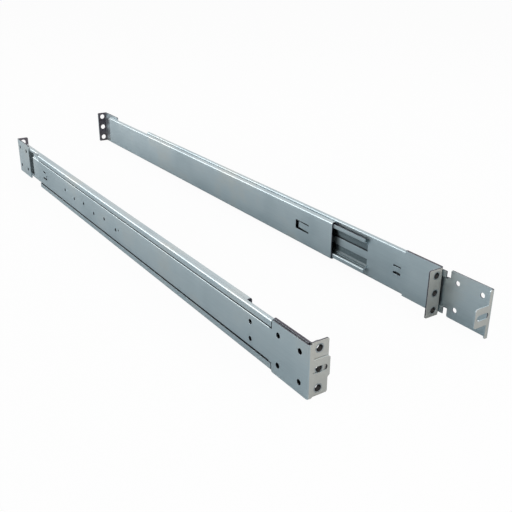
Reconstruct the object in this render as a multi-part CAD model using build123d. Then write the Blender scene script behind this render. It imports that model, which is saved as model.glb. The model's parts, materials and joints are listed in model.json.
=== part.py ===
from build123d import *
import os

# Each rail is drawn once as the right-hand rail, in its own frame:
# x runs forward and is 0 at the rack face of the front flange,
# y runs from the chassis side (0) to the rack side, z is 0 at half height.
# The left-hand rail is its mirror image.

# Rack dimensions
rack_hole_pitch = 15.875
rack_hole_line = 10.2
rail_height = 43.4
shortest_depth = 609.6
longest_depth = 914.4

# How the pair stands at rest
chassis_face_spacing = 172.4
left_rail_setback = 38.1
right_extension = 37.8
left_extension = 91.3
left_pull_out = 48.6

# Outer member: a channel with curled lips, its front plate and its front flange
slide_setback = 42.5
slide_half_height = 21.0
outer_sheet = 1.2
lip_width = 6.0
front_flange_reach = 18.4
front_hem_height = 1.8
flange_corner = 1.5
flange_inside_bend = 0.6

# Clinch nuts behind the front flange, tapped M6
nut_bore_radius = 2.55
nut_shank_radius = 3.7
nut_body_radius = 4.3
nut_body_length = 3.0
nut_fit = 0.03

# Inner member: a hat section that slides in the channel, with a full-height front plate
inner_sheet = 1.0
slide_clearance = 0.35
lip_gap = 1.1
inner_rear_overhang = 22.0
inner_plate_height = 42.8
inner_plate_corner = 1.5
shoulder_gap = 0.8
notch_length = 3.3
flange_gap = 0.3
front_lip_reach = 4.6
tab_height = 17.0
tab_reach = 19.1
tab_corner = 1.6
tab_slot_length = 13.2
tab_slot_height = 5.2
rear_cut_length = 19.0
rear_cut_depth = 8.2

# Holes of the inner member, placed from the rack face of the front flange
plate_hole_radius = 2.25
plate_hole_setback = 8.5
plate_hole_pitch = 25.4
plate_hole_height = 24.5
pair_hole_radius = 2.0
pair_hole_setback = 69.5
pair_hole_height = 14.5
zigzag_hole_radius = 1.75
zigzag_setback = 317.5
zigzag_pitch = 28.7
zigzag_count = 6
zigzag_offset = 1.35
pilot_hole_radius = 0.8
pilot_lead = 7.5

# Latch near the rear of the inner member: a three-cornered tab cut free on two sides, whose
# front edge is bent towards the outer member, and a slit above it
latch_lead = 34.1
latch_length = 15.6
latch_height = 6.6
latch_drop = 5.0
latch_slit = 2.0
latch_lift = 0.4
latch_wall = 1.0
latch_wall_height = 3.0
slit_lead = 3.6
slit_length = 8.6
slit_height = 1.6
slit_rise = 3.2

# Pull-out stop: a bridge pressed out of the outer member's web
bridge_setback = 46.4
bridge_length = 9.3
bridge_height = 5.0
bridge_depth = 1.0
bridge_ramp = 2.2
bridge_slit = 1.7

# Bands pressed into the outer member's web, which take the feet of the guide rails
band_inner_edge = 3.8
band_outer_edge = 11.0

# Guide rails on the back of the outer member: a foot, a step on to the web, a wall and a lip
guide_setback = 90.0
guide_sheet = 1.2
guide_depth = 4.4
guide_wall_edge = 12.7
guide_step = 1.0
upper_foot_gap = 1.6
lower_foot_gap = 0.05
guide_inside_bend = 0.5

# Extension arm: the channel that slides over the guide rails, with turned-in lips behind
# the rails' lips
arm_front_gap = 1.6
arm_sheet = 1.2
arm_half_height = 19.2
arm_inside_bend = 0.8
arm_running_gap = 0.2
arm_side_gap = 0.6
arm_back_gap = 0.4
arm_lip_width = 4.0
arm_lip_bend = 0.4

# Catch tab in the arm's web, which meets the depth stop
catch_lead = 36.4
catch_length = 21.6
catch_window_height = 9.4
catch_slit = 1.5
catch_rear_gap = 3.4
catch_bend = 1.3

# Rear bracket, welded on the arm's lips
bracket_sheet = 1.5
bracket_plate_length = 46.0
bracket_flange_reach = 17.0
bracket_arm_start = 28.0
bracket_slide_gap = 10.6
bracket_corner = 1.5
rear_hole_radius = 3.5

# Depth stop: a shouldered stud on the outer member's web
stop_head_radius = 3.6
stop_shank_radius = 2.0
stop_head_gap = 0.5
stop_margin = 0.5

# Slider blocks: two shoes riveted on the arm's lips, which run behind the rails' lips
block_lead = 62.0
block_length = 34.0
block_lip_gap = 0.2
block_rivet_inset = 8.0
block_rivet_shank = 0.8
block_rivet_head = 1.2
block_rivet_head_depth = 0.5

# Rivets that hold the guide rails to the outer member
guide_rivet_count = 5
guide_rivet_lead = 70.0
guide_rivet_tail = 14.0
guide_rivet_height = 7.4
guide_rivet_shank = 1.4
guide_rivet_head = 1.9
guide_rivet_head_depth = 0.6
rivet_fit = 0.03

# Sizes that follow
plate_half = rail_height / 2
slide_front = -slide_setback
slide_rear = -shortest_depth + bracket_plate_length + bracket_slide_gap
bridge_front = -bridge_setback
slide_cavity = inner_sheet + 2 * slide_clearance
outer_depth = 2 * outer_sheet + slide_cavity
outer_web_face = outer_depth - outer_sheet
band_floor = outer_depth - guide_sheet
band_back = band_floor - outer_sheet
lip_edge = slide_half_height - lip_width
slide_inside_bend = 0.4 * slide_cavity

inner_front = flange_gap + inner_sheet
inner_rear = slide_rear - inner_rear_overhang
inner_web_half = lip_edge - lip_gap
flare_near = outer_sheet + slide_clearance
flare_far = flare_near + inner_sheet
flare_half = slide_half_height - outer_sheet - slide_clearance
shoulder_x = slide_front + shoulder_gap
flare_front = shoulder_x - notch_length

guide_front = -guide_setback
guide_face = outer_depth + guide_depth
arm_web_near = guide_face + arm_running_gap
arm_web_far = arm_web_near + arm_sheet
arm_flange_edge = outer_depth + arm_back_gap
guide_half = arm_half_height - arm_sheet - arm_side_gap
arm_lip_edge = arm_half_height - arm_lip_width
arm_lip_face = arm_flange_edge + arm_sheet

right_depth = shortest_depth + right_extension
arm_rear = -right_depth + bracket_arm_start
arm_front = slide_front - arm_front_gap - right_extension
catch_front = arm_front - catch_lead
catch_rear = catch_front - catch_length
catch_tab_rear = catch_rear + catch_rear_gap
arm_travel_out = longest_depth - right_depth
bracket_plate_near = arm_flange_edge - bracket_sheet


def box_between(x0, x1, y0, y1, z0, z1):
    size = Box(x1 - x0, y1 - y0, z1 - z0, align=(Align.MIN, Align.MIN, Align.MIN))
    return Pos(x0, y0, z0) * size


def rod_along_y(x, z, radius, y0, y1):
    rod = Cylinder(radius, y1 - y0, align=(Align.CENTER, Align.CENTER, Align.MIN))
    return Pos(x, y0, z) * Rot(-90, 0, 0) * rod


def rod_along_x(y, z, radius, x0, x1):
    rod = Cylinder(radius, x1 - x0, align=(Align.CENTER, Align.CENTER, Align.MIN))
    return Pos(x0, y, z) * Rot(0, 90, 0) * rod


def outline_face(plane, corners):
    # corners holds (first, second, corner radius) in the plane's own axes
    points = [(first, second) for first, second, radius in corners]
    radii = [radius for first, second, radius in corners]
    return make_face(plane * FilletPolyline(*points, radius=radii, close=True))


def bar_along_x(corners, rear_x, front_x):
    face = outline_face(Plane.YZ.offset(rear_x), corners)
    return extrude(face, front_x - rear_x, dir=(1, 0, 0))


def bar_along_z(corners, half_height):
    face = outline_face(Plane.XY.offset(-half_height), corners)
    return extrude(face, 2 * half_height, dir=(0, 0, 1))


def plate_along_y(corners, y0, y1):
    plane = Plane(origin=(0, y0, 0), x_dir=(1, 0, 0), z_dir=(0, -1, 0))
    return extrude(outline_face(plane, corners), y1 - y0, dir=(0, 1, 0))


def rounded_ends(shape, axis, sort_axis, radius):
    # Rounds the two outermost edges that run along one axis, at the far end of another
    edges = shape.edges().filter_by(axis).group_by(sort_axis)[-1]
    return fillet(edges, radius)


def rack_hole_heights():
    return [step * rack_hole_pitch for step in (-1, 0, 1)]


def four_hole_spots(setback):
    spots = []
    for x in (setback, setback + plate_hole_pitch):
        for z in (-plate_hole_height / 2, plate_hole_height / 2):
            spots.append((x, z))
    return spots


def guide_rivet_spots():
    first = guide_front - guide_rivet_lead
    last = slide_rear + guide_rivet_tail
    step = (last - first) / (guide_rivet_count - 1)
    return [first + step * index for index in range(guide_rivet_count)]


def stop_x():
    # The catch tab's free edge comes up to the stop's head at the longest depth
    return catch_tab_rear - arm_travel_out - stop_margin - stop_head_radius


def make_outer_member():
    outside = slide_inside_bend + outer_sheet
    inner_z = slide_half_height - outer_sheet
    channel = bar_along_x(
        [
            (0, lip_edge, 0),
            (0, slide_half_height, outside),
            (outer_depth, slide_half_height, outside),
            (outer_depth, -slide_half_height, outside),
            (0, -slide_half_height, outside),
            (0, -lip_edge, 0),
            (outer_sheet, -lip_edge, 0),
            (outer_sheet, -inner_z, slide_inside_bend),
            (outer_web_face, -inner_z, slide_inside_bend),
            (outer_web_face, inner_z, slide_inside_bend),
            (outer_sheet, inner_z, slide_inside_bend),
            (outer_sheet, lip_edge, 0),
        ],
        slide_rear,
        slide_front,
    )
    front = bar_along_z(
        [
            (slide_front, outer_web_face, 0),
            (0, outer_web_face, flange_inside_bend + outer_sheet),
            (0, front_flange_reach, 0),
            (-outer_sheet, front_flange_reach, 0),
            (-outer_sheet, outer_depth, flange_inside_bend),
            (slide_front, outer_depth, 0),
        ],
        plate_half,
    )
    front = rounded_ends(front, Axis.X, Axis.Y, flange_corner)
    outer = channel + front + make_front_hems()
    outer = press_bands(outer)
    for z in rack_hole_heights():
        outer -= rod_along_x(rack_hole_line, z, nut_shank_radius, -outer_sheet, 0)
    for x in guide_rivet_spots():
        for z in (-guide_rivet_height, guide_rivet_height):
            outer -= rod_along_y(x, z, guide_rivet_shank, band_back, band_floor)
    outer -= rod_along_y(stop_x(), 0, stop_shank_radius, outer_web_face, outer_depth)
    return press_bridge(outer)


def press_bands(outer):
    # Each band is set in by the gauge of the foot that lies in it, so the two are flush
    for side in (-1, 1):
        z0, z1 = sorted((side * band_inner_edge, side * band_outer_edge))
        low, high = z0 - outer_sheet, z1 + outer_sheet
        front = guide_front + outer_sheet
        outer += box_between(slide_rear, front, band_back, outer_web_face, low, high)
        outer -= box_between(slide_rear, guide_front, band_floor, outer_depth, z0, z1)
    return outer


def make_front_hems():
    # The front plate's upper and lower edges are folded back on its chassis side
    hems = []
    near = outer_web_face - outer_sheet
    for z in (-plate_half, plate_half - front_hem_height):
        hem_front = -outer_sheet - flange_inside_bend
        hems.append(
            box_between(slide_front, hem_front, near, outer_web_face, z, z + front_hem_height)
        )
    return hems


def press_bridge(outer):
    # A strip between two slits, pressed towards the inner member
    rear = bridge_front - bridge_length
    half_window = bridge_height / 2 + bridge_slit
    low = outer_web_face - bridge_depth
    outer -= box_between(rear, bridge_front, outer_web_face, outer_depth, -half_window, half_window)
    strip = bar_along_z(
        [
            (rear, outer_web_face, 0),
            (rear + bridge_ramp, low, 0),
            (bridge_front - bridge_ramp, low, 0),
            (bridge_front, outer_web_face, 0),
            (bridge_front, outer_depth, 0),
            (bridge_front - bridge_ramp, low + outer_sheet, 0),
            (rear + bridge_ramp, low + outer_sheet, 0),
            (rear, outer_depth, 0),
        ],
        bridge_height / 2,
    )
    return outer + strip


def make_flange_nuts():
    nuts = []
    for z in rack_hole_heights():
        shank = rod_along_x(rack_hole_line, z, nut_shank_radius - nut_fit, -outer_sheet, 0)
        body = rod_along_x(
            rack_hole_line, z, nut_body_radius, -outer_sheet - nut_body_length, -outer_sheet
        )
        bore = rod_along_x(rack_hole_line, z, nut_bore_radius, -outer_sheet - nut_body_length, 0)
        nuts.append(shank + body - bore)
    return nuts


def make_inner_member():
    outer_bend = 0.7 * flare_near
    inner_bend = 0.15 * flare_near
    inside = inner_web_half - inner_sheet
    hat = bar_along_x(
        [
            (0, inner_web_half, outer_bend),
            (flare_near, inner_web_half, inner_bend),
            (flare_near, flare_half, 0),
            (flare_far, flare_half, 0),
            (flare_far, inside, outer_bend),
            (inner_sheet, inside, inner_bend),
            (inner_sheet, -inside, inner_bend),
            (flare_far, -inside, outer_bend),
            (flare_far, -flare_half, 0),
            (flare_near, -flare_half, 0),
            (flare_near, -inner_web_half, inner_bend),
            (0, -inner_web_half, outer_bend),
        ],
        inner_rear,
        flare_front,
    )
    neck = box_between(flare_front, shoulder_x, 0, inner_sheet, -inner_web_half, inner_web_half)
    inner = hat + neck + make_inner_front()
    cut_top = -flare_half + rear_cut_depth
    rear_cut = box_between(
        inner_rear, inner_rear + rear_cut_length, 0, flare_far, -flare_half, cut_top
    )
    return press_latch(inner - rear_cut - inner_hole_tools())


def make_inner_front():
    # The full-height plate, its short bent lip and the slotted tab that lies on the flange
    half = inner_plate_height / 2
    plate = bar_along_z(
        [
            (shoulder_x, 0, 0),
            (inner_front, 0, inner_sheet + 0.3 * inner_sheet),
            (inner_front, front_lip_reach, 0),
            (flange_gap, front_lip_reach, 0),
            (flange_gap, inner_sheet, 0.3 * inner_sheet),
            (shoulder_x, inner_sheet, 0),
        ],
        half,
    )
    rear_edges = plate.edges().filter_by(Axis.Y).group_by(Axis.X)[0]
    plate = fillet(rear_edges, inner_plate_corner)
    plate = rounded_ends(plate, Axis.X, Axis.Y, inner_plate_corner)
    tab = bar_along_x(
        [
            (front_lip_reach, -tab_height / 2, 0),
            (tab_reach - tab_corner, -tab_height / 2, 0),
            (tab_reach, -tab_height / 2 + tab_corner, 0),
            (tab_reach, tab_height / 2 - tab_corner, 0),
            (tab_reach - tab_corner, tab_height / 2, 0),
            (front_lip_reach, tab_height / 2, 0),
        ],
        flange_gap,
        inner_front,
    )
    slot_face = Plane.YZ.offset(flange_gap) * Pos(rack_hole_line, 0)
    slot_outline = slot_face * SlotOverall(tab_slot_length, tab_slot_height)
    slot = extrude(slot_outline, inner_sheet, dir=(1, 0, 0))
    return plate + tab - slot


def inner_hole_tools():
    spots = []
    for x, z in four_hole_spots(plate_hole_setback):
        spots.append((-x, z, plate_hole_radius))
    for z in (-pair_hole_height / 2, pair_hole_height / 2):
        spots.append((-pair_hole_setback, z, pair_hole_radius))
    for index in range(zigzag_count):
        side = -1 if index % 2 == 0 else 1
        x = -zigzag_setback - zigzag_pitch * index
        spots.append((x, side * zigzag_offset, zigzag_hole_radius))
    spots.append((-zigzag_setback + pilot_lead, 0, pilot_hole_radius))
    return [rod_along_y(x, z, radius, 0, inner_sheet) for x, z, radius in spots]


def press_latch(inner):
    # The tab keeps the window's sloping side, where it hangs on the sheet
    rear = inner_rear + latch_lead
    front = rear + latch_length
    low = -latch_drop
    slope = latch_height / latch_length
    window = plate_along_y(
        [(rear, low, 0), (front, low, 0), (front, low + latch_height, 0)], 0, inner_sheet
    )
    tab_low = low + latch_slit
    tab_front = front - 0.7 * latch_slit
    tab_top = low + slope * (tab_front - rear)
    tab = plate_along_y(
        [(rear + latch_slit / slope, tab_low, 0), (tab_front, tab_low, 0), (tab_front, tab_top, 0)],
        0,
        inner_sheet,
    )
    wall = box_between(
        tab_front - latch_wall,
        tab_front,
        0,
        inner_sheet + latch_lift,
        tab_low,
        tab_low + latch_wall_height,
    )
    slit = box_between(
        rear + slit_lead,
        rear + slit_lead + slit_length,
        0,
        inner_sheet,
        slit_rise,
        slit_rise + slit_height,
    )
    return inner - window - slit + tab + wall


def make_guide_rail(side, foot_gap):
    # side is 1 for the upper rail and -1 for the lower one
    outside = guide_inside_bend + guide_sheet
    lip_near = guide_face - guide_sheet
    step_top = band_outer_edge - guide_step
    corners = [
        (band_floor, band_inner_edge + foot_gap, 0),
        (band_floor, step_top, 0),
        (outer_depth, band_outer_edge, 0),
        (outer_depth, guide_wall_edge + guide_sheet, outside),
        (lip_near, guide_wall_edge + guide_sheet, guide_inside_bend),
        (lip_near, guide_half, 0),
        (guide_face, guide_half, 0),
        (guide_face, guide_wall_edge, outside),
        (outer_depth + guide_sheet, guide_wall_edge, guide_inside_bend),
        (outer_depth + guide_sheet, step_top + 0.5 * guide_step, 0),
        (outer_depth, step_top - 0.5 * guide_step, 0),
        (outer_depth, band_inner_edge + foot_gap, 0),
    ]
    rail = bar_along_x([(y, side * z, bend) for y, z, bend in corners], slide_rear, guide_front)
    for x in guide_rivet_spots():
        rail -= rod_along_y(x, side * guide_rivet_height, guide_rivet_shank, band_floor, outer_depth)
    return rail


def make_guide_rivets():
    rivets = []
    seat = outer_depth
    for x in guide_rivet_spots():
        for z in (-guide_rivet_height, guide_rivet_height):
            shank = rod_along_y(x, z, guide_rivet_shank - rivet_fit, band_back, seat)
            head = rod_along_y(x, z, guide_rivet_head, seat, seat + guide_rivet_head_depth)
            rivets.append(shank + head)
    return rivets


def make_depth_stop():
    x = stop_x()
    shank = rod_along_y(x, 0, stop_shank_radius - rivet_fit, outer_web_face, outer_depth)
    head = rod_along_y(x, 0, stop_head_radius, outer_depth, arm_web_near - stop_head_gap)
    return shank + head


def make_extension_arm():
    outside = arm_inside_bend + arm_sheet
    lip_outside = arm_lip_bend + arm_sheet
    inside_z = arm_half_height - arm_sheet
    arm = bar_along_x(
        [
            (arm_flange_edge, arm_lip_edge, 0),
            (arm_flange_edge, arm_half_height, lip_outside),
            (arm_web_far, arm_half_height, outside),
            (arm_web_far, -arm_half_height, outside),
            (arm_flange_edge, -arm_half_height, lip_outside),
            (arm_flange_edge, -arm_lip_edge, 0),
            (arm_lip_face, -arm_lip_edge, 0),
            (arm_lip_face, -inside_z, arm_lip_bend),
            (arm_web_near, -inside_z, arm_inside_bend),
            (arm_web_near, inside_z, arm_inside_bend),
            (arm_lip_face, inside_z, arm_lip_bend),
            (arm_lip_face, arm_lip_edge, 0),
        ],
        arm_rear,
        arm_front,
    )
    half_window = catch_window_height / 2
    arm -= box_between(
        catch_rear, catch_front, arm_web_near, arm_web_far, -half_window, half_window
    )
    tab = bar_along_z(
        [
            (catch_front, arm_web_near, 0),
            (catch_front, arm_web_far, 0),
            (catch_tab_rear, arm_web_far - catch_bend, 0),
            (catch_tab_rear, arm_web_near - catch_bend, 0),
        ],
        half_window - catch_slit,
    )
    arm += tab
    for x, z in block_rivet_spots():
        arm -= rod_along_y(x, z, block_rivet_shank, arm_flange_edge, arm_lip_face)
    return arm


def block_edges():
    # A shoe's two edges, inside the bend of the arm's lip
    return arm_lip_edge, arm_half_height - arm_sheet - arm_lip_bend


def block_rivet_spots():
    front = arm_front - block_lead - block_rivet_inset
    rear = arm_front - block_lead - block_length + block_rivet_inset
    height = sum(block_edges()) / 2
    return [(x, z) for x in (rear, front) for z in (-height, height)]


def make_slider_blocks():
    # Each shoe fills the space between the arm's lip and the guide rail's lip
    top = guide_face - guide_sheet - block_lip_gap
    front = arm_front - block_lead
    blocks = []
    for side in (-1, 1):
        z0, z1 = sorted(side * edge for edge in block_edges())
        block = box_between(front - block_length, front, arm_lip_face, top, z0, z1)
        for x, z in block_rivet_spots():
            block -= rod_along_y(x, z, block_rivet_shank, arm_lip_face, top)
            block -= rod_along_y(x, z, block_rivet_head + rivet_fit, top - block_rivet_head_depth, top)
        blocks.append(block)
    return blocks


def make_slider_rivets():
    top = guide_face - guide_sheet - block_lip_gap
    head_seat = top - block_rivet_head_depth
    rivets = []
    for x, z in block_rivet_spots():
        shank = rod_along_y(x, z, block_rivet_shank - rivet_fit, arm_flange_edge, head_seat)
        head = rod_along_y(x, z, block_rivet_head, head_seat, top)
        rivets.append(shank + head)
    return rivets


def make_rear_bracket():
    rear_face = -right_depth
    plate_front = rear_face + bracket_plate_length
    front_of_flange = rear_face + bracket_sheet
    bracket = bar_along_z(
        [
            (plate_front, bracket_plate_near, 0),
            (rear_face, bracket_plate_near, flange_inside_bend + bracket_sheet),
            (rear_face, bracket_flange_reach, 0),
            (front_of_flange, bracket_flange_reach, 0),
            (front_of_flange, arm_flange_edge, flange_inside_bend),
            (plate_front, arm_flange_edge, 0),
        ],
        plate_half,
    )
    bracket = rounded_ends(bracket, Axis.X, Axis.Y, bracket_corner)
    bracket = rounded_ends(bracket, Axis.Y, Axis.X, bracket_corner)
    for z in rack_hole_heights():
        bracket -= rod_along_x(rack_hole_line, z, rear_hole_radius, rear_face, front_of_flange)
    for x, z in four_hole_spots(plate_hole_setback):
        bracket -= rod_along_y(
            front_of_flange + x, z, plate_hole_radius, bracket_plate_near, arm_flange_edge
        )
    return bracket


def make_rail():
    # Node name to its list of solids, and which moving group it belongs to
    return {
        "outer_member": ("outer", [make_outer_member()]),
        "flange_nuts": ("outer", make_flange_nuts()),
        "upper_guide_rail": ("outer", [make_guide_rail(1, upper_foot_gap)]),
        "lower_guide_rail": ("outer", [make_guide_rail(-1, lower_foot_gap)]),
        "guide_rivets": ("outer", make_guide_rivets()),
        "depth_stop": ("outer", [make_depth_stop()]),
        "inner_member": ("inner", [make_inner_member()]),
        "extension_arm": ("arm", [make_extension_arm()]),
        "rear_bracket": ("arm", [make_rear_bracket()]),
        "slider_blocks": ("arm", make_slider_blocks()),
        "slider_rivets": ("arm", make_slider_rivets()),
    }


def write_node(name, solids):
    shape = solids[0] if len(solids) == 1 else Compound(solids)
    export_step(shape, os.path.join("parts", name + ".step"))


def main():
    os.makedirs("parts", exist_ok=True)
    left_front = inner_front - left_rail_setback + left_pull_out
    front_x = max(inner_front, left_front)
    rear_x = min(-right_depth, -shortest_depth - left_extension - left_rail_setback)
    middle_x = (front_x + rear_x) / 2
    half_width = chassis_face_spacing / 2
    slides = {"outer": 0, "inner": left_pull_out, "arm": right_extension - left_extension}
    for name, (group, solids) in make_rail().items():
        right = [Pos(-middle_x, -half_width, plate_half) * solid for solid in solids]
        write_node("right_" + name, right)
        shift_x = slides[group] - left_rail_setback - middle_x
        mirrored = [mirror(solid, about=Plane.XZ) for solid in solids]
        left = [Pos(shift_x, half_width, plate_half) * solid for solid in mirrored]
        write_node("left_" + name, left)


main()
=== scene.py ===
import bpy
import bmesh
from math import cos, radians, sin
from mathutils import Matrix, Vector
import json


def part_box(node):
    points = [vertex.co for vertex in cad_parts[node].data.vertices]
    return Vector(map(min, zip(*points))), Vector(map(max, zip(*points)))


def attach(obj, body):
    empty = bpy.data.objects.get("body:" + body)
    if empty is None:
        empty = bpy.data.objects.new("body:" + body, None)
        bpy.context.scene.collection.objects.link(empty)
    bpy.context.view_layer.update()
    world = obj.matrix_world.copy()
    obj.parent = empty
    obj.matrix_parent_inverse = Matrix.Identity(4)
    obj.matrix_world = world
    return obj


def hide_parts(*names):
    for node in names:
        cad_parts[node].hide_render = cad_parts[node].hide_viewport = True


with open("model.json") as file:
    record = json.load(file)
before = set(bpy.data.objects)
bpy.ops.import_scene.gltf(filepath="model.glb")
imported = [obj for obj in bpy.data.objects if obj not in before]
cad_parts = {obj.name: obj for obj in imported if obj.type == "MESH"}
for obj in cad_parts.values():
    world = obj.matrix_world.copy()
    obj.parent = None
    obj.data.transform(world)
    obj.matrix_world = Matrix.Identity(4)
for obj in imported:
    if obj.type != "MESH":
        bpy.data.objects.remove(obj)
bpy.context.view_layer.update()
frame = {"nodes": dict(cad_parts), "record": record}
nodeBox = {name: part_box(name) for name in frame["nodes"]}    # measured once, as it takes a while
print("stage: frame loaded")

mm = 0.001


def linearColour(hexColour):
    # sRGB hex to the linear values that Blender's sockets take
    channels = [int(hexColour[i:i + 2], 16) / 255 for i in (1, 3, 5)]
    linear = [c / 12.92 if c <= 0.04045 else ((c + 0.055) / 1.055) ** 2.4 for c in channels]
    return (*linear, 1.0)


def addNode(tree, kind, inputs=None, links=None, **settings):
    # one shader node with its settings, its socket values and its incoming links
    node = tree.nodes.new(kind)
    for name, value in settings.items():
        setattr(node, name, value)
    for socket, value in (inputs or {}).items():
        node.inputs[socket].default_value = value
    for socket, (source, output) in (links or {}).items():
        tree.links.new(source.outputs[output], node.inputs[socket])
    return node


def startMaterial(name):
    material = bpy.data.materials.new(name)
    material.use_nodes = True
    material.node_tree.nodes.clear()
    return material, material.node_tree


# the camera stands where the photo was taken from
cameraView = {
    "place": (0.687285, -0.345160, 0.285826),
    "azimuth": 56.150,
    "elevation": 23.416,
    "roll": 0.429,
    "lens": 50.588,
    "sensor": 36.0,
    "clip": (0.01, 50.0),
}


def makeCamera(view):
    turn, rise, roll = (radians(view[key]) for key in ("azimuth", "elevation", "roll"))
    back = Vector((sin(turn) * cos(rise), -cos(turn) * cos(rise), sin(rise)))
    right = (-back).cross(Vector((0, 0, 1))).normalized()
    up = right.cross(-back)
    rolledRight = right * cos(roll) + up * sin(roll)
    rolledUp = up * cos(roll) - right * sin(roll)
    data = bpy.data.cameras.new("photoCamera")
    data.lens = view["lens"]
    data.sensor_width = view["sensor"]
    data.clip_start, data.clip_end = view["clip"]
    camera = bpy.data.objects.new("photoCamera", data)
    matrix = Matrix((rolledRight, rolledUp, back)).transposed().to_4x4()
    matrix.translation = Vector(view["place"])
    camera.matrix_world = matrix
    bpy.context.scene.collection.objects.link(camera)
    bpy.context.scene.camera = camera


makeCamera(cameraView)
print("stage: camera")


# what every finish here is made of: noise patterns of a real size, two or three tones laid
# along them, and a roughness and a bump that follow them
noiseSpan = (0.3, 0.7)    # where a noise pattern's values mostly lie


def addNoise(tree, place, size, detail, roughness):
    # size is in mm
    return addNode(tree, "ShaderNodeTexNoise",
                   {"Scale": 1 / (size * mm), "Detail": detail, "Roughness": roughness},
                   {"Vector": (place, "Object")})


def addTones(tree, source, stops, colours):
    node = addNode(tree, "ShaderNodeValToRGB", links={"Fac": source})
    elements = node.color_ramp.elements
    while len(elements) < len(stops):
        elements.new(0.5)
    for element, stop, colour in zip(elements, stops, colours):
        element.position = stop
        element.color = linearColour(colour)
    return node


def addShader(tree, look, colour, roughFrom, heightFrom, values):
    rough = addNode(tree, "ShaderNodeMapRange",
                    {"From Min": noiseSpan[0], "From Max": noiseSpan[1],
                     "To Min": look["roughLow"], "To Max": look["roughHigh"]}, {"Value": roughFrom})
    bump = addNode(tree, "ShaderNodeBump",
                   {"Strength": 1.0, "Distance": look["bumpHeight"] * mm}, {"Height": heightFrom})
    shader = addNode(tree, "ShaderNodeBsdfPrincipled", values,
                     {"Base Color": (colour, "Color"), "Roughness": (rough, "Result"),
                      "Normal": (bump, "Normal")})
    addNode(tree, "ShaderNodeOutputMaterial", links={"Surface": (shader, "BSDF")})


# cold rolled steel sheet, zinc plated with a clear blue passivation: a satin metal whose
# blue-grey body colour drifts a little, with faint rolling lines along the length
zincSheet = {
    "dark": "#B4C1C6",
    "light": "#C3CED2",
    "warm": "#CBCFCD",
    "stops": (0.40, 0.72, 0.95),
    "rollWidth": 0.9,      # mm, far coarser than the real lines so that they show
    "rollLength": 60.0,    # mm
    "rollShare": 0.35,     # how much of the tone the rolling lines give
    "cloudSize": 55.0,     # mm, drift of the passivation's tone
    "grainSize": 0.7,      # mm, plating grain, drawn coarse
    "grainShare": 0.6,     # how much of the bump the grain gives
    "roughLow": 0.35,
    "roughHigh": 0.44,
    "bumpHeight": 0.003,   # mm
}

# the same sheet on the brackets, bent from a strip that was rolled the other way
zincBracket = dict(zincSheet, dark="#B2BEC3", light="#C1CCD0")

# the same sheet where the arm runs on it: darker as painted shade of the recesses, and smoother, as
# under grease
recessShadeLook = dict(zincSheet, dark="#747F83", light="#848F92", warm="#8A908F",
                   roughLow=0.24, roughHigh=0.36)

# the same sheet where the inner member and the outer member's channel run on each other,
# painted nearly black as the shade in the gaps, and smoother, as under slide grease
channelShadeLook = dict(zincSheet, dark="#475053", light="#596265", warm="#5F6463",
                   roughLow=0.24, roughHigh=0.42)

# the front flanges' faces, matt, with a yellow cast painted in as a warm reflection
warmReflectionLook = dict(zincSheet, dark="#BEBCB7", light="#C9C7C1", warm="#CEC9C0",
                roughLow=0.50, roughHigh=0.60)

# the bracket's flange, painted dark as shade on the side towards the rail
flangeShadeLook = dict(zincBracket, dark="#5E585F", light="#7B747A", warm="#8A8285",
                roughLow=0.34, roughHigh=0.46)


def makeZinc(name, look, rollAxis=0):
    material, tree = startMaterial(name)
    place = addNode(tree, "ShaderNodeTexCoord")
    stretch = [1 / (look["rollWidth"] * mm)] * 3
    stretch[rollAxis] = 1 / (look["rollLength"] * mm)
    rollMap = addNode(tree, "ShaderNodeMapping", {"Scale": stretch}, {"Vector": (place, "Object")})
    roll = addNode(tree, "ShaderNodeTexNoise", {"Scale": 1.0, "Detail": 3.0, "Roughness": 0.6},
                   {"Vector": (rollMap, "Vector")})
    cloud = addNoise(tree, place, look["cloudSize"], 2.0, 0.5)
    grain = addNoise(tree, place, look["grainSize"], 2.0, 0.7)
    tone = addNode(tree, "ShaderNodeMath", {1: look["rollShare"]},
                   {0: (roll, "Fac"), 2: (cloud, "Fac")}, operation="MULTIPLY_ADD")
    height = addNode(tree, "ShaderNodeMath", {1: look["grainShare"]},
                     {0: (grain, "Fac"), 2: (roll, "Fac")}, operation="MULTIPLY_ADD")
    colour = addTones(tree, (tone, 0), look["stops"], (look["dark"], look["light"], look["warm"]))
    addShader(tree, look, colour, (grain, "Fac"), (height, 0), {"Metallic": 1.0})
    return material


# a sheet's sheared edge: a burnished band and a torn band under thin zinc, darker than the
# faces, with fine drag lines across the sheet's thickness
shearedEdge = {
    "dark": "#45424A",
    "light": "#68656D",
    "stops": (0.45, 0.95),
    "lineWidth": 0.35,     # mm, drag lines, drawn coarse
    "lineShare": 0.4,      # how much of the tone the drag lines give
    "patchSize": 5.0,      # mm, where torn and burnished stretches change places
    "roughLow": 0.38,
    "roughHigh": 0.55,
    "bumpHeight": 0.008,   # mm
}


def makeShearedEdge(name, look):
    material, tree = startMaterial(name)
    place = addNode(tree, "ShaderNodeTexCoord")
    lines = addNoise(tree, place, look["lineWidth"], 2.0, 0.6)
    patches = addNoise(tree, place, look["patchSize"], 2.0, 0.5)
    tone = addNode(tree, "ShaderNodeMath", {1: look["lineShare"]},
                   {0: (lines, "Fac"), 2: (patches, "Fac")}, operation="MULTIPLY_ADD")
    colour = addTones(tree, (tone, 0), look["stops"], (look["dark"], look["light"]))
    addShader(tree, look, colour, (patches, "Fac"), (lines, "Fac"), {"Metallic": 1.0})
    return material


# turned and headed steel under zinc: fine marks from the tool, brighter than the sheet
turnedSteel = {
    "dark": "#A3A6A8",
    "light": "#C9CBCA",
    "stops": (0.30, 0.70),
    "markSize": 0.45,      # mm, tool marks, drawn coarse
    "roughLow": 0.26,
    "roughHigh": 0.40,
    "bumpHeight": 0.006,   # mm
}
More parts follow.
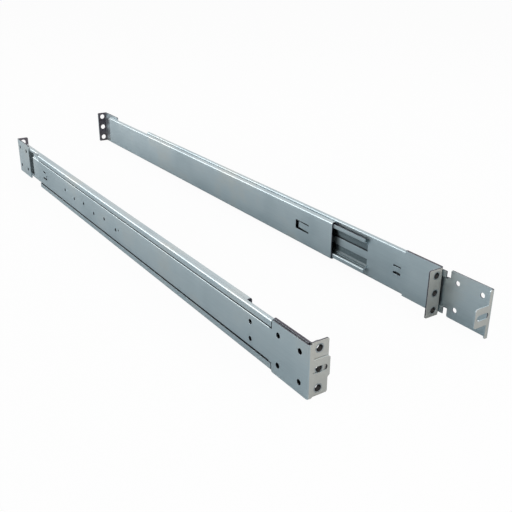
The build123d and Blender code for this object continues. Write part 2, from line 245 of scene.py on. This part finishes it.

# the same steel in a tapped bore, painted dark as the shade inside the bore
boreShadeLook = dict(turnedSteel, dark="#2B2A2B", light="#4C4A48", roughLow=0.22, roughHigh=0.34)


def makeTurnedSteel(name, look):
    material, tree = startMaterial(name)
    place = addNode(tree, "ShaderNodeTexCoord")
    marks = addNoise(tree, place, look["markSize"], 3.0, 0.55)
    colour = addTones(tree, (marks, "Fac"), look["stops"], (look["dark"], look["light"]))
    addShader(tree, look, colour, (marks, "Fac"), (marks, "Fac"), {"Metallic": 1.0})
    return material


# moulded black acetal: a fine spark-eroded grain, with a soft waxy shine
acetal = {
    "dark": "#17181A",
    "light": "#232427",
    "stops": (0.35, 0.70),
    "grainSize": 0.5,      # mm, mould grain, drawn coarse
    "roughLow": 0.34,
    "roughHigh": 0.46,
    "bumpHeight": 0.012,   # mm
    "refraction": 1.48,
}


def makeAcetal(name, look):
    material, tree = startMaterial(name)
    place = addNode(tree, "ShaderNodeTexCoord")
    grain = addNoise(tree, place, look["grainSize"], 3.0, 0.6)
    colour = addTones(tree, (grain, "Fac"), look["stops"], (look["dark"], look["light"]))
    addShader(tree, look, colour, (grain, "Fac"), (grain, "Fac"), {"IOR": look["refraction"]})
    return material


zinc = makeZinc("zincPlatedSheet", zincSheet)
bracketZinc = makeZinc("zincPlatedBracket", zincBracket, rollAxis=2)
recessShadeSheet = makeZinc("paintedRecessShadeSheet", recessShadeLook)
channelShadeSheet = makeZinc("paintedChannelShadeOnZinc", channelShadeLook)
warmReflectionSheet = makeZinc("paintedWarmReflectionZinc", warmReflectionLook, rollAxis=2)
flangeShadeSheet = makeZinc("paintedShadeFlangeZinc", flangeShadeLook, rollAxis=2)
cutEdge = makeShearedEdge("shearedSheetEdge", shearedEdge)
turned = makeTurnedSteel("turnedZincSteel", turnedSteel)
shadedThread = makeTurnedSteel("paintedShadeSteelThread", boreShadeLook)
blackAcetal = makeAcetal("mouldedBlackAcetal", acetal)
print("stage: materials")


bodyOf = {name: body for body, names in frame["record"]["behaviour"]["bodies"].items()
          for name in names}


def seatPiece(piece, nodeName):
    # the piece stands for its CAD node, on the same body
    bpy.context.scene.collection.objects.link(piece)
    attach(piece, bodyOf[nodeName])
    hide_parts(nodeName)


# pressed sheet: the shape of the CAD node with its corners broken as a deburred pressing has
# them, and the sheared edges in their own finish
pressedSheet = {
    "mergeGap": 0.002,     # mm
    "flatAngle": 0.5,      # degrees, below which two facets are one face
    "bendAngle": 35.0,     # degrees, above which an edge is a corner and not part of a bend
    "brokenEdge": 0.08,    # mm, size of the deburred corner
    "brokenSteps": 2,
    "edgeBand": 1.35,      # mm, a face narrower than this is a cut edge
    "hemBand": 2.7,        # mm, the same for a level face on top, where two gauges lie together
    "gauge": 1.9,          # mm, longest smooth side that a facet of a cut edge has
    "levelShare": 0.9,     # upward part of its normal, above which a face is level
    "squareShare": 0.7,    # part of its normal on one axis, above which a face looks along it
}

# finishes of a dressed pressing, by material index
faceFinish, edgeFinish, paintedShadeFinish, paintedReflectionAndShadeFinish = 0, 1, 2, 3


def railSpot(nodeName, point):
    # mm behind the front rack face, mm from the chassis side, mm above the middle
    side = nodeName.split("_", 1)[0]
    low, high = nodeBox[side + "_outer_member"]
    chassisFace = low[1] if side == "right" else high[1]
    return ((high[0] - point[0]) / mm, abs(point[1] - chassisFace) / mm,
            (point[2] - (low[2] + high[2]) / 2) / mm)


def within(value, span):
    return span[0] < value < span[1]


def isCutEdge(face, look):
    # a facet of a sheet's cut edge has corners along its sides, or sides as short as the gauge
    band = look["hemBand"] if face.normal.z > look["levelShare"] else look["edgeBand"]
    if face.calc_area() / face.calc_perimeter() > band / 2 * mm:
        return False
    corner = radians(look["bendAngle"])
    longSides = [edge for edge in face.edges if edge.calc_length() > look["gauge"] * mm]
    return all(edge.calc_face_angle(0) > corner for edge in longSides)


# outer member: painted shade all over the inside of its channel, from the lips to the web,
# and a painted warm reflection on its flange's front
outerMember = dict(
    pressedSheet,
    flangeFront=1.5,            # mm behind the rack face
    channelStart=2.0,           # mm behind the rack face
    channelDepth=(1.15, 3.0),   # mm from the chassis side
    channelHalf=19.9,           # mm, half height, between the channel's inside and its outside
)


def finishOuter(face, nodeName, look):
    setback, depth, height = railSpot(nodeName, face.calc_center_median())
    if isCutEdge(face, look):
        return edgeFinish
    inChannel = within(depth, look["channelDepth"]) and abs(height) < look["channelHalf"]
    if setback > look["channelStart"] and inChannel:
        return paintedShadeFinish
    onFront = setback < look["flangeFront"] and face.normal.x > look["squareShare"]
    return paintedReflectionAndShadeFinish if onFront else faceFinish


# inner member: painted shade on its flares only where they run in the channel, and a painted
# warm reflection on its front tab
innerMember = dict(
    pressedSheet,
    tabFront=1.2,               # mm behind its own front, as deep as the tab
    tabStart=2.0,               # mm from the chassis side
    slotMiddle=10.2,            # mm from the chassis side
    slotHalf=(6.7, 2.7),        # mm, half length and half height with a little to spare
    slotEndShare=0.6,           # sideways part of its normal, above which a face ends the slot
    shadedSpan=(44.0, 554.3),   # mm behind its own front
    flareDepth=(1.2, 2.0),      # mm from the chassis side
    flareShare=0.3,             # chassis part of its normal, above which a face is a flare's
    riserHeight=(13.2, 14.2),   # mm above and below the middle, the steps beside the flares
)


def finishInner(face, nodeName, look):
    middle = face.calc_center_median()
    _, depth, height = railSpot(nodeName, middle)
    ownSetback = (nodeBox[nodeName][1][0] - middle[0]) / mm
    if ownSetback < look["tabFront"] and depth > look["tabStart"]:
        halfLength, halfHeight = look["slotHalf"]
        inSlot = abs(depth - look["slotMiddle"]) < halfLength and abs(height) < halfHeight
        if inSlot and abs(face.normal.y) > look["slotEndShare"]:
            return edgeFinish
        return paintedReflectionAndShadeFinish if face.normal.x > look["squareShare"] else faceFinish
    if isCutEdge(face, look):
        return edgeFinish
    toChassis = face.normal.y * (-1 if nodeName.startswith("right") else 1)
    onFlare = within(depth, look["flareDepth"]) and toChassis > look["flareShare"]
    onRiser = (within(abs(height), look["riserHeight"])
               and abs(face.normal.z) > look["squareShare"])
    inChannel = within(ownSetback, look["shadedSpan"])
    return paintedShadeFinish if inChannel and (onFlare or onRiser) else faceFinish


# extension arm: painted shade inside, where it runs over the guide rails
extensionArm = dict(
    pressedSheet,
    insideDepth=(5.6, 8.8),     # mm from the chassis side
    insideHalf=18.1,            # mm, half height
)


def finishArm(face, nodeName, look):
    _, depth, height = railSpot(nodeName, face.calc_center_median())
    if isCutEdge(face, look):
        return edgeFinish
    inside = within(depth, look["insideDepth"]) and abs(height) < look["insideHalf"]
    return paintedShadeFinish if inside else faceFinish


# guide rails: painted shade under and beside the lips that hold the arm, plain on the lips'
# faces and at their ends
guideRail = dict(pressedSheet, shadedDepth=7.3)    # mm from the chassis side


def finishGuide(face, nodeName, look):
    if abs(face.normal.x) > look["squareShare"]:
        return faceFinish
    if isCutEdge(face, look):
        return edgeFinish
    depth = railSpot(nodeName, face.calc_center_median())[1]
    return paintedShadeFinish if depth < look["shadedDepth"] else faceFinish


# rear bracket: painted shade on its flange, on the side towards the rail
rearBracket = dict(pressedSheet, flangeGauge=2.0)    # mm, with a little to spare


def finishBracket(face, nodeName, look):
    if isCutEdge(face, look):
        return edgeFinish
    fromRear = (face.calc_center_median()[0] - nodeBox[nodeName][0][0]) / mm
    onFlange = fromRear < look["flangeGauge"]
    return paintedReflectionAndShadeFinish if onFlange and face.normal.x > look["squareShare"] else faceFinish


def dressNode(nodeName, finishes, chooseFinish, look):
    bm = bmesh.new()
    bm.from_mesh(frame["nodes"][nodeName].data)
    bmesh.ops.remove_doubles(bm, verts=bm.verts, dist=look["mergeGap"] * mm)
    bmesh.ops.dissolve_limit(bm, angle_limit=radians(look["flatAngle"]),
                             use_dissolve_boundaries=False, verts=bm.verts, edges=bm.edges)
    if "shadedSpan" in look:
        # the long faces are cut where the painted shade ends
        cut = (nodeBox[nodeName][1][0] - look["shadedSpan"][1] * mm, 0, 0)
        bmesh.ops.bisect_plane(bm, geom=bm.verts[:] + bm.edges[:] + bm.faces[:], plane_co=cut,
                               plane_no=(1, 0, 0))
    bm.normal_update()
    for face in bm.faces:
        face.material_index = chooseFinish(face, nodeName, look)
        face.smooth = True
    mesh = bpy.data.meshes.new("dressed_" + nodeName)
    bm.to_mesh(mesh)
    bm.free()
    for finish in finishes:
        mesh.materials.append(finish)
    mesh.set_sharp_from_angle(angle=radians(look["bendAngle"]))
    piece = bpy.data.objects.new("dressed_" + nodeName, mesh)
    broken = piece.modifiers.new("brokenEdges", "BEVEL")
    broken.width = look["brokenEdge"] * mm
    broken.segments = look["brokenSteps"]
    broken.limit_method = "ANGLE"
    broken.angle_limit = radians(look["bendAngle"])
    broken.offset_type = "WIDTH"    # with no clamp, so that the channel's corners grow no spikes
    broken.use_clamp_overlap = False
    broken.harden_normals = True
    seatPiece(piece, nodeName)


pressings = {
    "outer_member": ((zinc, cutEdge, channelShadeSheet, warmReflectionSheet), finishOuter, outerMember),
    "inner_member": ((zinc, cutEdge, channelShadeSheet, warmReflectionSheet), finishInner, innerMember),
    "upper_guide_rail": ((zinc, cutEdge, recessShadeSheet), finishGuide, guideRail),
    "lower_guide_rail": ((zinc, cutEdge, recessShadeSheet), finishGuide, guideRail),
    "extension_arm": ((zinc, cutEdge, recessShadeSheet), finishArm, extensionArm),
    "rear_bracket": ((bracketZinc, cutEdge, recessShadeSheet, flangeShadeSheet), finishBracket, rearBracket),
}

for side in ("right", "left"):
    for pressing, (finishes, chooseFinish, look) in pressings.items():
        dressNode(side + "_" + pressing, finishes, chooseFinish, look)
print("stage: pressings")


# clinch nuts: turned bodies with a pressed-in shank, tapped M6, with painted shade in the thread
flangeNut = {
    "turns": 48,           # facets round the nut
    "chamfer": 0.35,       # mm, countersink of the bore
    "crest": 2.50,         # mm, radius at the thread's crests
    "root": 2.92,          # mm, radius at its roots
    "pitch": 1.0,          # mm
    "boreEdge": 2.78,      # mm, radius of the bore at its two ends
    "sheet": 1.2,          # mm, the flange that the shank is pressed into
    "shank": 3.67,         # mm, radius
    "body": 4.30,          # mm, radius
    "bodyChamfer": 0.3,    # mm
    "boreSkin": 0.02,      # mm beyond the roots, as far as a face counts as the bore's
    "mergeGap": 0.001,     # mm
    "cornerAngle": 30,     # degrees, above which an edge stays sharp
}


def nutSection(look, length):
    # setback and radius of the turned outside, then of the tapped bore from the rear
    section = [(0, look["boreEdge"]), (0, look["shank"]), (look["sheet"], look["shank"]),
               (look["sheet"], look["body"]), (length - look["bodyChamfer"], look["body"]),
               (length, look["body"] - look["bodyChamfer"]), (length, look["boreEdge"])]
    place = length - look["chamfer"]
    section.append((place, look["crest"]))
    while place - look["pitch"] > look["chamfer"]:
        section.append((place - look["pitch"] / 2, look["root"]))
        section.append((place - look["pitch"], look["crest"]))
        place -= look["pitch"]
    return section + [(look["chamfer"], look["crest"])]


def dressNuts(nodeName, look):
    low, high = nodeBox[nodeName]
    section = nutSection(look, (high[0] - low[0]) / mm)
    middle = Vector((high[0], (low[1] + high[1]) / 2, (low[2] + high[2]) / 2))
    holePitch = (high[2] - low[2]) / 2 - look["body"] * mm
    bm = bmesh.new()
    for step in (-1, 0, 1):
        centre = middle + Vector((0, 0, step * holePitch))
        known = set(bm.faces)
        ring = [bm.verts.new(centre + Vector((-setback * mm, 0, radius * mm)))
                for setback, radius in section]
        edges = [bm.edges.new(pair) for pair in zip(ring, ring[1:] + ring[:1])]
        bmesh.ops.spin(bm, geom=ring + edges, cent=centre, axis=(1, 0, 0), angle=radians(360),
                       steps=look["turns"], use_merge=True)
        for face in set(bm.faces) - known:
            spot = face.calc_center_median() - centre
            inBore = Vector((spot.y, spot.z)).length < (look["root"] + look["boreSkin"]) * mm
            face.material_index = 1 if inBore else 0
            face.smooth = True
    bmesh.ops.remove_doubles(bm, verts=bm.verts, dist=look["mergeGap"] * mm)
    bmesh.ops.recalc_face_normals(bm, faces=bm.faces)
    mesh = bpy.data.meshes.new("dressed_" + nodeName)
    bm.to_mesh(mesh)
    bm.free()
    mesh.materials.append(turned)
    mesh.materials.append(shadedThread)
    mesh.set_sharp_from_angle(angle=radians(look["cornerAngle"]))
    seatPiece(bpy.data.objects.new("dressed_" + nodeName, mesh), nodeName)


# headed pins and moulded shoes: the CAD shape with its rims rolled over, in one finish
headedPin = dict(pressedSheet, brokenEdge=0.22, bendAngle=50.0)


def finishHead(face, nodeName, look):
    return faceFinish


for side in ("right", "left"):
    dressNuts(side + "_flange_nuts", flangeNut)
    for pin in ("guide_rivets", "depth_stop", "slider_rivets"):
        dressNode(side + "_" + pin, (turned,), finishHead, headedPin)
    dressNode(side + "_slider_blocks", (blackAcetal,), finishHead, headedPin)
print("stage: nuts, pins and blocks")


# a pale table, white to the camera with a soft shadow left on it, under a plain sky
studio = {
    "floorSize": 8.0,            # m
    "floorDrop": 0.05,           # mm below the rails' feet
    "floorColour": "#C9D2D6",    # what the rails see of the table
    "whiteShare": 0.95,          # how much of the table is plain white to the camera
    "worldStrength": 0.45,
    "skyMirror": 0.88,           # the sky as the metal mirrors it
}


def makeFloor(look):
    mesh = bpy.data.meshes.new("studioFloor")
    bm = bmesh.new()
    bmesh.ops.create_grid(bm, x_segments=1, y_segments=1, size=look["floorSize"] / 2)
    bmesh.ops.translate(bm, verts=bm.verts, vec=(0, 0, -look["floorDrop"] * mm))
    bm.to_mesh(mesh)
    bm.free()
    floor = bpy.data.objects.new("studioFloor", mesh)
    bpy.context.scene.collection.objects.link(floor)
    material, tree = startMaterial("paleTable")
    path = addNode(tree, "ShaderNodeLightPath")
    paint = addNode(tree, "ShaderNodeMix",
                    {6: linearColour(look["floorColour"]), 7: (1, 1, 1, 1)},
                    {0: (path, "Is Camera Ray")}, data_type="RGBA")
    diffuse = addNode(tree, "ShaderNodeBsdfDiffuse", links={"Color": (paint, 2)})
    glow = addNode(tree, "ShaderNodeEmission", {"Color": (1, 1, 1, 1), "Strength": 1.0})
    share = addNode(tree, "ShaderNodeMath", {1: look["whiteShare"]},
                    {0: (path, "Is Camera Ray")}, operation="MULTIPLY")
    mix = addNode(tree, "ShaderNodeMixShader",
                  links={0: (share, 0), 1: (diffuse, "BSDF"), 2: (glow, "Emission")})
    addNode(tree, "ShaderNodeOutputMaterial", links={"Surface": (mix, "Shader")})
    mesh.materials.append(material)


def makeWorld(look):
    world = bpy.data.worlds.new("studioWorld")
    bpy.context.scene.world = world
    world.use_nodes = True
    tree = world.node_tree
    tree.nodes.clear()
    path = addNode(tree, "ShaderNodeLightPath")
    white, mirrored, soft = (
        addNode(tree, "ShaderNodeBackground", {"Color": (1, 1, 1, 1), "Strength": strength})
        for strength in (1.0, look["skyMirror"], look["worldStrength"]))
    seen = addNode(tree, "ShaderNodeMixShader",
                   links={0: (path, "Is Glossy Ray"), 1: (soft, "Background"),
                          2: (mirrored, "Background")})
    mix = addNode(tree, "ShaderNodeMixShader",
                  links={0: (path, "Is Camera Ray"), 1: (seen, "Shader"),
                         2: (white, "Background")})
    addNode(tree, "ShaderNodeOutputWorld", links={"Surface": (mix, "Shader")})


# soft boxes: places, targets and sizes in metres, power in watts
softBoxes = {
    "topBox": {"place": (0.0, 0.2, 1.6), "target": (0, 0, 0), "size": (1.6, 1.2), "power": 2},
    "keyBox": {"place": (0.25, 0.9, 1.4), "target": (0, 0, 0), "size": (1.4, 1.0), "power": 4.5},
    "fillBox": {"place": (-1.1, -1.5, 0.38), "target": (-0.4, 0, 0), "size": (3.0, 0.7),
                "power": 20},
    "frontBox": {"place": (1.2, 0.15, 0.25), "target": (0.2, 0, 0), "size": (0.8, 0.4),
                 "power": 3.2},
}


def makeSoftBox(name, look):
    data = bpy.data.lights.new(name, "AREA")
    data.shape = "RECTANGLE"
    data.size, data.size_y = look["size"]
    data.energy = look["power"]
    lamp = bpy.data.objects.new(name, data)
    lamp.location = look["place"]
    aim = Vector(look["target"]) - Vector(look["place"])
    lamp.rotation_euler = aim.to_track_quat("-Z", "Y").to_euler()
    bpy.context.scene.collection.objects.link(lamp)


makeFloor(studio)
makeWorld(studio)
for name, look in softBoxes.items():
    makeSoftBox(name, look)
bpy.context.scene.view_settings.view_transform = "Standard"
print("stage: studio")
